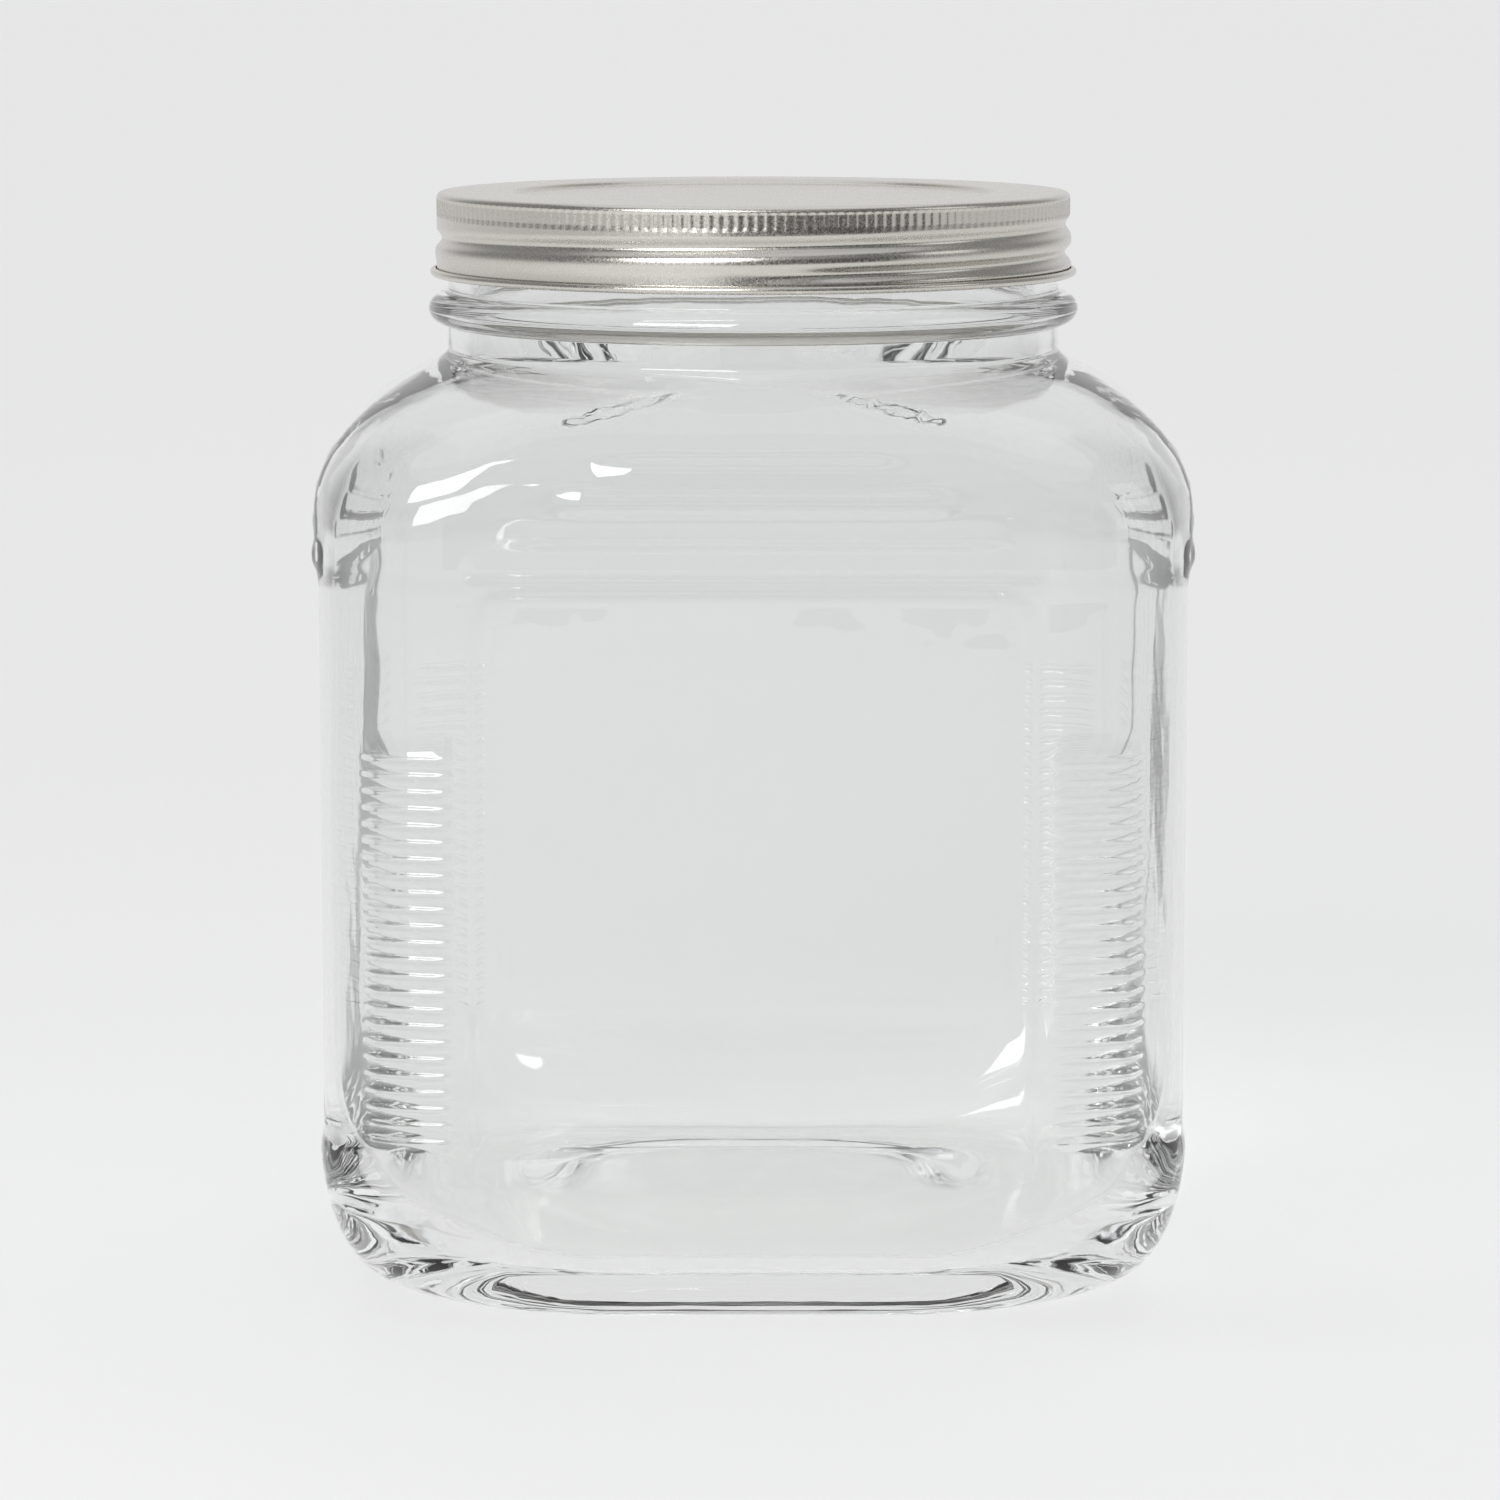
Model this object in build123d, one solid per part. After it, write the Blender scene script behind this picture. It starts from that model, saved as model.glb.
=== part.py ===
"""Wide-mouth glass storage jar with a pressed steel screw lid.

Millimetres. The jar stands on z = 0 with +Z up, X across its wide sides and
Y across its narrow ones. Three pieces: the moulded glass jar, the lid shell
pressed from thin steel sheet, and the soft gasket ring that seals the lid
to the rim of the jar.
"""
from build123d import *
from math import cos, exp, pi, sin, sqrt
import os

# ---- jar body --------------------------------------------------------------
body_width = 170.8          # overall, along X
body_depth = 148.5          # overall, along Y
corner_radius = 28.0        # vertical corners of the body
jar_height = 214.8          # foot to sealing rim
side_wall = 3.4             # glass thickness of the body
floor_wall = 6.2            # glass thickness over the push-up
heel_height = 36.0          # height over which the sides curve in to the foot
heel_inset = 14.1           # how far the foot lies inside the body
foot_corner = 49.5          # corner radius of the foot
foot_ring = 20.0            # width of the flat ring that the jar stands on
push_up_height = 3.8        # hollow under the base
push_up_slope = 20.0        # run of the push-up's sloping edge
shoulder_height = 30.1      # height of the curve from body to neck
shoulder_power = 2.4        # fullness of that curve
shoulder_blend = 0.1        # share of the curve that sweeps into the neck
shoulder_drop = 2.9         # inner shoulder below outer shoulder
shoulder_ledge = 0.05       # shoulder's top edge, out from the neck

# ---- waist, panels, shoulder steps and corner grips ------------------------
waist_depth = 0.9           # recess all round, between heel and shoulder
waist_bottom = 33.5         # lower edge of that recess
panel_depth = 0.5           # recess of the four side panels, from the waist
panel_bottom = 22.0         # lower edge of the panels
panel_top_gap = 10.1        # panels' upper edge below the shoulder
panel_border = 1.9          # flat land between panel and corner
panel_corner = 8.6          # rounded corners of the panels
step_count = 4              # stepped ribs over each panel
step_pitch = 6.2            # height from one step to the next
step_gap = 0.85             # groove between two steps
step_height = 0.5           # how far a step stands proud
step_taper = 9.0            # how much shorter each step's half is than the one below
grip_pitch = 3.24           # height from one grip rib to the next
grip_bottom = 36.9          # height of the lowest grip rib
grip_top_gap = 42.7         # highest grip rib below the shoulder, at least
grip_height = 0.48          # how far a grip rib stands proud of the waist
grip_round = 0.86           # radius of a grip rib's section
grip_sweep = 38.0           # angle of the corner that a grip rib covers
grip_front = 2.0            # angle from the rib's end to the front or back face

# ---- neck and screw thread --------------------------------------------------
neck_radius = 61.3          # outside of the neck, at the root of the thread
neck_wall = 4.7             # glass thickness of the neck
neck_below_bead = 4.7       # straight neck between shoulder and bead
bead_proud = 3.9            # transfer bead, out from the neck
bead_height = 6.5
bead_lid_gap = 3.2          # bead to the lid's lower edge
rim_round = 1.4             # rounding of the sealing rim's edges
thread_pitch = 5.5
thread_round = 0.276 * thread_pitch      # the glass thread's section, a circle
thread_rim_gap = 2.5        # rim to the upper end of the thread
thread_start = 193.0        # angle of the thread's lower end about +Z
thread_engagement = 2.57    # glass thread above the lid's thread, when closed

# ---- lid ----------------------------------------------------------------------
sheet = 0.3                 # steel sheet thickness
lid_height = 16.7           # top ring to lower edge
lid_clearance = 0.38        # crest of the glass thread to the skirt
lid_edge_round = 1.15       # rounding between top ring and skirt
centre_margin = 8.1         # centre panel's edge inside the mouth's wall
centre_drop = 0.85          # how far the centre panel steps down
centre_slope = 1.15         # run of that step
curl_round = 0.82           # outer radius of the curled edge
curl_end = 465              # angle at which the curl ends, short of the skirt
groove_round = 0.345 * thread_pitch      # the rolled thread's section
groove_depth = 1.05         # how far the rolled thread is pressed in
groove_start = 265.0        # angle of the rolled thread's lower end about +Z
groove_cover = 1.2          # degrees of wall that close each end of it
knurl_top = 1.15            # lid top to the top of the flutes
knurl_height = 3.3
knurl_count = 212           # flutes round the lid
flute_round = 0.8           # radius of a flute's section
flute_depth = 0.15

# ---- gasket ---------------------------------------------------------------------
gasket_thickness = 1.15
gasket_lap = 1.1            # how far the gasket reaches inside the mouth
gasket_round = 0.3
seat_gap = 0.02             # gasket to rim, and gasket to lid

# ---- sizes that follow ------------------------------------------------------------
half_width = body_width / 2
half_depth = body_depth / 2
mouth_radius = neck_radius - neck_wall
skirt_inner = neck_radius + thread_round + lid_clearance
skirt_outer = skirt_inner + sheet
lid_underside = jar_height + gasket_thickness + 2 * seat_gap
lid_top = lid_underside + sheet
lid_bottom = lid_top - lid_height
bead_middle = lid_bottom - bead_lid_gap - bead_height / 2
shoulder_top = bead_middle - bead_height / 2 - neck_below_bead
shoulder_foot = shoulder_top - shoulder_height
panel_top = shoulder_foot - panel_top_gap

groove_radius = skirt_outer - groove_depth + groove_round
groove_half = sqrt(groove_round**2 - (groove_round - groove_depth) ** 2)
groove_low = lid_bottom + 2 * curl_round + groove_half
groove_high = lid_top - knurl_top - knurl_height - groove_half
groove_turns = (groove_high - groove_low) / thread_pitch
thread_low = groove_low + thread_engagement + thread_pitch * (thread_start - groove_start) / 360
thread_turns = (jar_height - thread_rim_gap - thread_low) / thread_pitch

UPRIGHT = (Align.CENTER, Align.CENTER, Align.MIN)


def oval(half_x, half_y, corner, z):
    """A rounded rectangle at height z, round where the corners fill it."""
    least_flat = 0.1
    corner = min(corner, half_x - least_flat, half_y - least_flat)
    return Pos(0, 0, z) * RectangleRounded(2 * half_x, 2 * half_y, corner)


def heel_sections(wall, floor):
    """Foot to body: a quarter ellipse in height and inset."""
    sections = []
    for angle in (0, 15, 30, 45, 60, 75, 90):
        rise = heel_height * (1 - cos(angle * pi / 180))
        inward = 1 - sin(angle * pi / 180)
        inset = heel_inset * inward + wall
        corner = corner_radius + (foot_corner - corner_radius) * inward - wall
        sections.append(oval(half_width - inset, half_depth - inset, corner, floor + rise))
    return sections


def shoulder_growth(u):
    """Share of the way out from neck to body at share u of the way down."""
    return (1 - (1 - u) ** shoulder_power) * (1 - exp(-u / shoulder_blend))


def shoulder_sections(neck, wall, drop):
    """Body to neck, from the bottom up."""
    sections = []
    for u in (1.0, 0.85, 0.7, 0.5, 0.35, 0.22, 0.14, 0.08, 0.03, 0.0):
        share = shoulder_growth(u) / shoulder_growth(1.0)
        half_x = neck + (half_width - wall - neck) * share
        half_y = neck + (half_depth - wall - neck) * share
        corner = neck + (corner_radius - wall - neck) * share
        sections.append(oval(half_x, half_y, corner, shoulder_top - drop - u * shoulder_height))
    return sections


def straight_body(wall, low, high):
    """The upright stretch of the body, drawn in by wall."""
    base = oval(half_width - wall, half_depth - wall, corner_radius - wall, low)
    return extrude(base, high - low)


def vessel(wall, floor, neck, drop, top):
    """The jar's outer form or, drawn in by a wall, its cavity."""
    heel = loft(heel_sections(wall, floor))
    middle = straight_body(wall, floor + heel_height, shoulder_foot - drop)
    shoulder = loft(shoulder_sections(neck + shoulder_ledge, wall, drop))
    tube_foot = shoulder_foot - drop
    tube = Pos(0, 0, tube_foot) * Cylinder(neck, top - tube_foot, align=UPRIGHT)
    return heel + middle + shoulder + tube


def helix_bar(radius, bar_radius, low, turns, start):
    """A round bar wound into a right-hand helix of the thread's pitch."""
    line = Helix(thread_pitch, thread_pitch * turns, radius)
    section = Plane(origin=line @ 0, x_dir=(1, 0, 0), z_dir=line % 0) * Circle(bar_radius)
    bar = sweep(section, path=line, is_frenet=True)
    return Pos(0, 0, low) * Rot(0, 0, start) * bar


def each_side():
    """The four sides: turn about Z, distance out to the side, and panel half width."""
    inward = corner_radius + panel_border
    for turn in (0, 90, 180, 270):
        if turn % 180 == 0:
            yield turn, half_depth, half_width - inward
        else:
            yield turn, half_width, half_depth - inward


def waist_cutter():
    """A band round the body, up to the shoulder steps."""
    around = straight_body(-waist_depth, waist_bottom, panel_top)
    return around - straight_body(waist_depth, waist_bottom, panel_top)


def panel_cutters():
    """Shallow plates that recess the four side panels."""
    height = panel_top - panel_bottom
    middle = (panel_top + panel_bottom) / 2
    depth = waist_depth + panel_depth
    cutters = []
    for turn, reach, half in each_side():
        face = Plane.XZ * RectangleRounded(2 * half, height, panel_corner)
        plate = extrude(face, 2 * depth)
        cutters.append(Rot(0, 0, turn) * Pos(0, depth - reach, middle) * plate)
    return cutters


def shoulder_steps():
    """Stepped ribs over each panel: slices of a slightly larger jar."""
    larger = loft(shoulder_sections(neck_radius, -step_height, 0))
    larger = larger + straight_body(-step_height, panel_top, shoulder_foot)
    steps = []
    for turn, reach, half in each_side():
        for row in range(step_count):
            long = 2 * (half - row * step_taper)
            low = panel_top + row * step_pitch + step_gap / 2
            slice_box = Pos(0, -reach, low) * Box(long, reach, step_pitch - step_gap, align=UPRIGHT)
            steps.append((Rot(0, 0, turn) * slice_box) & larger)
    return steps


def corner_grips():
    """Horizontal grip ribs on the front and back halves of the four vertical corners."""
    ring = corner_radius - waist_depth + grip_height - grip_round
    section = Plane.XZ * Pos(ring, 0) * Circle(grip_round)
    rib = revolve(section, Axis.Z, grip_sweep)
    rows = int((shoulder_foot - grip_top_gap - grip_bottom) / grip_pitch) + 1
    back = 90 - grip_front
    front = 270 - grip_front
    ribs = []
    for side_x, side_y, start in (
        (1, 1, back - grip_sweep),
        (-1, 1, 180 - back),
        (-1, -1, front - grip_sweep),
        (1, -1, 540 - front),
    ):
        centre_x = side_x * (half_width - corner_radius)
        centre_y = side_y * (half_depth - corner_radius)
        for row in range(rows):
            height = grip_bottom + row * grip_pitch
            ribs.append(Pos(centre_x, centre_y, height) * Rot(0, 0, start) * rib)
    return ribs


def make_glass_jar():
    """The moulded jar: body, shoulder, neck, bead and thread in one piece."""
    jar = vessel(0, 0, neck_radius, 0, jar_height)
    jar = jar - waist_cutter() - panel_cutters()
    jar = jar + shoulder_steps() + corner_grips()
    bead_section = Plane.XZ * Pos(neck_radius, bead_middle) * Ellipse(bead_proud, bead_height / 2)
    jar = jar + revolve(bead_section, Axis.Z)
    jar = jar + helix_bar(neck_radius, thread_round, thread_low, thread_turns, thread_start)
    cavity_floor = push_up_height + floor_wall
    jar = jar - vessel(side_wall, cavity_floor, mouth_radius, shoulder_drop, jar_height + rim_round)
    inset = heel_inset + foot_ring
    edge = oval(half_width - inset, half_depth - inset, foot_corner, 0)
    inset = inset + push_up_slope
    crown = oval(half_width - inset, half_depth - inset, foot_corner, push_up_height)
    jar = jar - loft([edge, crown])
    rim = jar.edges().filter_by(GeomType.CIRCLE).group_by(Axis.Z)[-1]
    return fillet(rim, rim_round)


def arc_about(centre, radius, angles):
    """An arc about a centre through the points at three angles, in degrees."""
    points = [(centre[0] + radius * cos(a * pi / 180), centre[1] + radius * sin(a * pi / 180)) for a in angles]
    return ThreePointArc(*points)


def joined(pieces):
    """The pieces, each joined to the next by a straight line, as a closed outline."""
    lines = []
    for piece, following in zip(pieces, pieces[1:] + pieces[:1]):
        lines.append(piece)
        lines.append(Line(piece @ 1, following @ 0))
    return lines


def lid_outline():
    """Half of the lid's section: centre panel, step, top ring, skirt and curl."""
    step_out = mouth_radius - centre_margin
    step_in = step_out - centre_slope
    edge = (skirt_outer - lid_edge_round, lid_top - lid_edge_round)
    curl = (skirt_inner + curl_round, lid_bottom + curl_round)
    return joined([
        Line((0, lid_top - centre_drop), (step_in, lid_top - centre_drop)),
        Line((step_out, lid_top), (edge[0] - sheet, lid_top)),
        arc_about(edge, lid_edge_round, (90, 45, 0)),
        arc_about(curl, curl_round - sheet, (180, 290, curl_end)),
        arc_about(curl, curl_round, (curl_end, 290, 180)),
        arc_about(edge, lid_edge_round - sheet, (0, 45, 90)),
        Line((edge[0] - sheet, lid_underside), (step_out, lid_underside)),
        Line((step_in, lid_underside - centre_drop), (0, lid_underside - centre_drop)),
    ])


def knurl_flutes():
    """Bars that cut the fine upright flutes round the top of the skirt."""
    centre = skirt_outer + flute_round - flute_depth
    low = lid_top - knurl_top - knurl_height
    bar = Pos(centre, 0, low) * Cylinder(flute_round, knurl_height, align=UPRIGHT)
    return [Rot(0, 0, 360 * index / knurl_count) * bar for index in range(knurl_count)]


def make_lid_shell():
    """The one-piece lid, with its flutes and its rolled thread."""
    shell = revolve(Plane.XZ * make_face(lid_outline()), Axis.Z)
    cover_rise = thread_pitch * groove_cover / 360
    ridge = helix_bar(
        groove_radius,
        groove_round + sheet,
        groove_low - cover_rise,
        groove_turns + 2 * groove_cover / 360,
        groove_start - groove_cover,
    )
    inside = Pos(0, 0, lid_bottom) * Cylinder(skirt_inner + sheet / 2, lid_height, align=UPRIGHT)
    groove = helix_bar(groove_radius, groove_round, groove_low, groove_turns, groove_start)
    return shell + (ridge & inside) - groove - knurl_flutes()


def make_lid_gasket():
    """A flat ring between the lid and the sealing rim."""
    outer = skirt_outer - lid_edge_round
    inner = mouth_radius - gasket_lap
    ring = Cylinder(outer, gasket_thickness, align=UPRIGHT) - Cylinder(inner, gasket_thickness, align=UPRIGHT)
    ring = fillet(ring.edges(), gasket_round)
    return Pos(0, 0, jar_height + seat_gap) * ring


os.makedirs("parts", exist_ok=True)
export_step(make_glass_jar(), "parts/glass_jar.step")
export_step(make_lid_shell(), "parts/lid_shell.step")
export_step(make_lid_gasket(), "parts/lid_gasket.step")
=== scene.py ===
"""Glass storage jar with a pressed steel screw lid: the shapes and looks that show.

Metres, +Z up, the jar's front towards -Y. The jar, the lid and the gasket are
each a surface of two parameters: a profile that runs from pole to pole, and
the angle about +Z. They stand for the CAD pieces and ride on their bodies.
"""
from math import cos, pi, radians, sin, sqrt

import bpy
import numpy as np
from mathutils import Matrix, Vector


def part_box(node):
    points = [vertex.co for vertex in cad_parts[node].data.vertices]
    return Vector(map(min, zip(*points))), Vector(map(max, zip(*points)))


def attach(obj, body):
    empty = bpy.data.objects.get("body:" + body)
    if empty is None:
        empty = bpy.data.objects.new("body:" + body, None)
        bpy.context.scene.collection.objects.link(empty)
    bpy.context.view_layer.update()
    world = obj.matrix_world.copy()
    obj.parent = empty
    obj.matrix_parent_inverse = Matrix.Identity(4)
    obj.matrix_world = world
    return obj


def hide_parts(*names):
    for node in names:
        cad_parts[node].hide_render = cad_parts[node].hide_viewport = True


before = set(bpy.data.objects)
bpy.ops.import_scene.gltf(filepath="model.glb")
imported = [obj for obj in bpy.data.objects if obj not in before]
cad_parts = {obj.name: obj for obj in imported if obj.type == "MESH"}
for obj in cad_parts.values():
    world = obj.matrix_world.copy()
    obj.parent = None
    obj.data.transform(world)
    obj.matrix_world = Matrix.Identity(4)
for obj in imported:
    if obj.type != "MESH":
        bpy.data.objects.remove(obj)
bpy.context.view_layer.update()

bl_info = {
    "name": "Glass Jar with Screw Lid",
    "version": (1, 0, 0),
    "blender": (4, 5, 0),
    "location": "3D View > Sidebar > Jar",
    "description": "Adds a glass storage jar, its steel screw lid and a plain studio",
    "category": "Add Mesh",
}

JAR_HIGH = tuple(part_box("glass_jar")[1])
LID_LOW, LID_HIGH = (tuple(corner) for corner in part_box("lid_shell"))
TINY = 1e-9  # keeps divisions clear of zero
STEP_PROUD = 0.0005  # the shoulder ribs, out from the body


def length(name, text, default):
    """A size in metres that a user can change."""
    return bpy.props.FloatProperty(
        name=name, description=text, default=default, min=0.0, precision=5,
        subtype="DISTANCE", unit="LENGTH",
    )


def colour(name, text, default):
    """A linear RGB colour that a user can change."""
    return bpy.props.FloatVectorProperty(
        name=name, description=text, default=default, size=3, min=0.0, max=1.0,
        subtype="COLOR",
    )


class JarSizes(bpy.types.PropertyGroup):
    """Sizes of the glass."""

    half_width: length("Half width", "Half of the body along X", JAR_HIGH[0] - STEP_PROUD)
    half_depth: length("Half depth", "Half of the body along Y", JAR_HIGH[1] - STEP_PROUD)
    height: length("Height", "Foot to sealing rim", JAR_HIGH[2])
    corner: length("Corner radius", "Vertical corners of the body", 0.028)
    wall: length("Side wall", "Glass thickness of the body", 0.0034)
    floor_wall: length("Floor", "Glass thickness over the push-up", 0.0062)
    push_up: length("Push-up", "Hollow under the base", 0.0038)
    heel_height: length("Heel height", "Height over which the sides curve in", 0.0360)
    heel_inset: length("Heel inset", "How far the foot lies inside the body", 0.0141)
    shoulder_top: length("Shoulder top", "Height where the neck begins", 0.18519)
    shoulder_height: length("Shoulder height", "Height of the curve from body to neck", 0.0301)
    neck: length("Neck radius", "Outside of the neck", 0.0613)
    neck_wall: length("Neck wall", "Glass thickness of the neck", 0.0047)
    panel_depth: length("Panel depth", "Recess of the side panels", 0.0006)
    waist_depth: length("Waist depth", "Recess all round the body", 0.0009)
    grip_height: length("Grip height", "How far a grip rib stands proud", 0.00036)
    step_height: length("Step height", "How far a shoulder rib stands proud", 0.0005)


class LidSizes(bpy.types.PropertyGroup):
    """Sizes of the lid and its gasket."""

    skirt: length("Skirt radius", "Outside of the lid's skirt", 0.063498)
    sheet: length("Sheet", "Steel sheet thickness", 0.0003)
    groove_depth: length("Groove depth", "How far the rolled thread is pressed in", 0.00105)
    plate_drop: length("Centre drop", "How far the centre panel steps down", 0.00085)
    plate_edge: length("Centre radius", "Radius of the centre panel's edge", 0.0485)
    flute_depth: length("Flute depth", "Depth of the knurled band's flutes", 0.00022)
    flutes: bpy.props.IntProperty(
        name="Flutes", description="Flutes round the lid", default=212, min=12
    )
    gasket: length("Gasket thickness", "Height of the sealing ring", 0.00115)


class JarColours(bpy.types.PropertyGroup):
    """Colours of the pieces and of the studio."""

    glass: colour("Glass", "Tint of the glass", (0.925, 0.93, 0.926))
    steel: colour("Steel", "Satin steel of the lid", (0.67, 0.645, 0.60))
    seal: colour("Seal", "Sealing compound of the gasket", (0.80, 0.78, 0.72))
    floor: colour("Floor", "Floor and backdrop", (0.38, 0.38, 0.38))


# ---- surfaces -----------------------------------------------------------------


def smooth(share):
    """A smooth ramp from 0 to 1: 3s^2 - 2s^3."""
    share = np.clip(share, 0.0, 1.0)
    return share * share * (3 - 2 * share)


def rounded_section(turn, half_x, half_y, corner):
    """Where a ray from the axis leaves a rounded rectangle, and the normal there.

    The ray meets the flat side x = half_x, the flat side y = half_y, or, between
    them, the corner's circle, whose distance is the root of a quadratic.
    """
    corner = np.minimum(corner, np.minimum(half_x, half_y))
    c, s = np.abs(np.cos(turn)), np.abs(np.sin(turn))
    flat_x, flat_y = half_x - corner, half_y - corner
    to_x = half_x / np.maximum(c, TINY)
    to_y = half_y / np.maximum(s, TINY)
    along = flat_x * c + flat_y * s
    to_arc = along + np.sqrt(np.maximum(along**2 - flat_x**2 - flat_y**2 + corner**2, 0))
    on_x = to_x * s <= flat_y
    on_y = to_y * c <= flat_x
    reach = np.where(on_x, to_x, np.where(on_y, to_y, to_arc))
    radius = np.maximum(corner, TINY)
    normal_x = np.where(on_x, 1.0, np.where(on_y, 0.0, (reach * c - flat_x) / radius))
    normal_y = np.where(on_x, 0.0, np.where(on_y, 1.0, (reach * s - flat_y) / radius))
    sign_x, sign_y = np.sign(np.cos(turn)), np.sign(np.sin(turn))
    return reach * c * sign_x, reach * s * sign_y, normal_x * sign_x, normal_y * sign_y


def plate_distance(across, up, half_across, low, high, corner):
    """Distance from a rounded rectangle's outline on a face: negative inside it."""
    over_x = np.abs(across) - half_across + corner
    over_z = np.abs(up - (low + high) / 2) - (high - low) / 2 + corner
    outside = np.hypot(np.maximum(over_x, 0), np.maximum(over_z, 0))
    return outside + np.minimum(np.maximum(over_x, over_z), 0) - corner


def grid_object(name, x, y, z, ends):
    """A closed mesh from a grid of rows along the profile and columns round the axis.

    ends is "poles" where fans close the first and last rows, or "ring" where the
    last row joins the first.
    """
    rows, columns = x.shape
    points = np.stack([x, y, z], axis=-1).reshape(-1, 3)
    here = np.arange(columns)
    after = np.roll(here, -1)
    row = np.arange(rows if ends == "ring" else rows - 1)[:, None]
    first, second = row * columns, (row + 1) % rows * columns
    quads = [first + here, first + after, second + after, second + here]
    faces = np.stack(quads, axis=-1).reshape(-1, 4).tolist()
    if ends == "poles":
        low = len(points)
        poles = points[:columns].mean(axis=0), points[-columns:].mean(axis=0)
        points = np.vstack([points, *poles])
        top = (rows - 1) * columns
        faces += np.stack([np.full(columns, low), after, here], axis=-1).tolist()
        faces += np.stack([top + here, top + after, np.full(columns, low + 1)], axis=-1).tolist()
    mesh = bpy.data.meshes.new(name)
    mesh.from_pydata(points.tolist(), [], faces)
    mesh.polygons.foreach_set("use_smooth", np.ones(len(mesh.polygons), dtype=bool))
    mesh.update()
    piece = bpy.data.objects.new(name, mesh)
    bpy.context.scene.collection.objects.link(piece)
    return piece


def along_helix(turn, z, start, low, turns, fade, section):
    """A section's height carried along a helix, fading in and out over a share of a turn.

    At angle t the wind number k lies at low + pitch * (t - start + 360 k) / 360;
    the section is a function of the height above it, and the winds add up.
    """
    share = np.mod(turn - start, 2 * pi) / (2 * pi)
    total = 0.0
    for wind in range(int(turns) + 1):
        along = share + wind
        present = smooth(along / fade) * smooth((turns - along) / fade)
        total = total + present * section(z - low - THREAD_PITCH * along)
    return total


# ---- glass ----------------------------------------------------------------------

SHOULDER_POWER = 2.4  # how square the curve from neck to body is
SHOULDER_BLEND = 0.1  # share of the height that flares out of the neck
SHOULDER_DROP = 0.0029  # the inside's curve lies this much lower
SHOULDER_CROWD = 1.7  # rows lie closer near the neck
INNER_CROWD = 1.6
FOOT_CORNER = 0.0495
FOOT_RING = 0.020
FOOT_SHARES = np.array([0.15, 0.4, 0.7, 0.92])
CROWN_SHARES = np.array([0.12, 0.4, 0.7])
FLOOR_SHARES = np.array([0.95, 0.86, 0.72, 0.5, 0.26, 0.08])
PUSH_UP_SLOPE = 0.020
HEEL_CROWD = 1.3  # rows lie closer near the foot
WAIST_BOTTOM = 0.0335
WAIST_RAMP = 0.0060
WAIST_FRONT = 0.35  # share of the waist's depth on the front and back
PANEL_BOTTOM = 0.0220
PANEL_TOP_GAP = 0.0101  # from the shoulder's foot down to the panel
PANEL_BORDER = 0.0019
PANEL_CORNER = 0.0086
PANEL_BEVEL = 0.0034
STEP_COUNT = 4
STEP_PITCH = 0.0062
STEP_TAPER = 0.0090  # each rib is this much shorter at either end
STEP_ROUND = 0.42 * STEP_PITCH
SIDE_STEP_BEYOND = 0.0060
SIDE_STEP_TAPER = 0.0045
STEP_BEVEL = 0.0030
GRIP_PITCH = 0.00324
GRIP_BOTTOM = 0.0369
GRIP_COUNT = 24
GRIP_ROUND = 0.00086
GRIP_ROWS = np.array([-0.78, -0.55, -0.18, 0.18, 0.55, 0.78]) * 0.001  # across one rib
GRIP_FROM, GRIP_FROM_FADE = radians(50), radians(3)
GRIP_TO, GRIP_TO_FADE = radians(88), radians(2.5)
BEAD_PROUD = 0.0039
BEAD_HALF = 0.00325
BEAD_MIDDLE = 0.19314
THREAD_PITCH = 0.0055
THREAD_ROUND = 0.276 * THREAD_PITCH
THREAD_LOW = 0.2043977
THREAD_TURNS = 1.4368
THREAD_START = radians(193)
THREAD_FADE = 0.035
THREAD_ZONE = 0.2025  # the neck is plain below this height
NECK_PLAIN_TOP, NECK_THREAD_LOW = 0.2024, 0.2028
RIM_ROUND = 0.0014
WALL_WAVE = 0.00022
WALL_WAVE_TOP, WALL_WAVE_TOP_FADE = 0.172, 0.03
WALL_WAVE_LOW, WALL_WAVE_LOW_FADE = 0.012, 0.02


def glass_columns(sizes):
    """Angles about +Z: even along the flats, closer at the panels' borders and corners."""

    def along(flat, count):
        border = PANEL_BORDER + PANEL_BEVEL + 0.0015
        even = np.linspace(0, flat - border, count)[:-1]
        return np.concatenate([even, np.linspace(flat - border, flat, 9)])

    flat_x, flat_y = sizes.half_width - sizes.corner, sizes.half_depth - sizes.corner
    front, side = along(flat_x, 17), along(flat_y, 13)
    bend = np.linspace(0, pi / 2, 31)[1:-1]
    arc_x, arc_y = flat_x + sizes.corner * np.cos(bend), flat_y + sizes.corner * np.sin(bend)
    x = np.concatenate([np.full(len(side), sizes.half_width), arc_x, front[::-1]])
    y = np.concatenate([side, arc_y, np.full(len(front), sizes.half_depth)])
    quarter = np.arctan2(y, x)
    half = np.concatenate([quarter[:-1], pi - quarter[::-1][:-1]])
    return np.concatenate([half, half + pi])


def shoulder_growth(u):
    """Share of the way out from neck to body at share u of the way down."""
    return (1 - (1 - u) ** SHOULDER_POWER) * (1 - np.exp(-u / SHOULDER_BLEND))


def scaled_rows(shares, section):
    """One section drawn in towards the axis by each share, as rows of z, half sizes and corner."""
    z, half_x, half_y, corner = section
    return np.stack([np.full(len(shares), z), half_x * shares, half_y * shares, corner * shares])


def between(first, last, shares):
    """Rows that pass evenly from one section to another."""
    return np.array(first)[:, None] * (1 - shares) + np.array(last)[:, None] * shares


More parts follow.
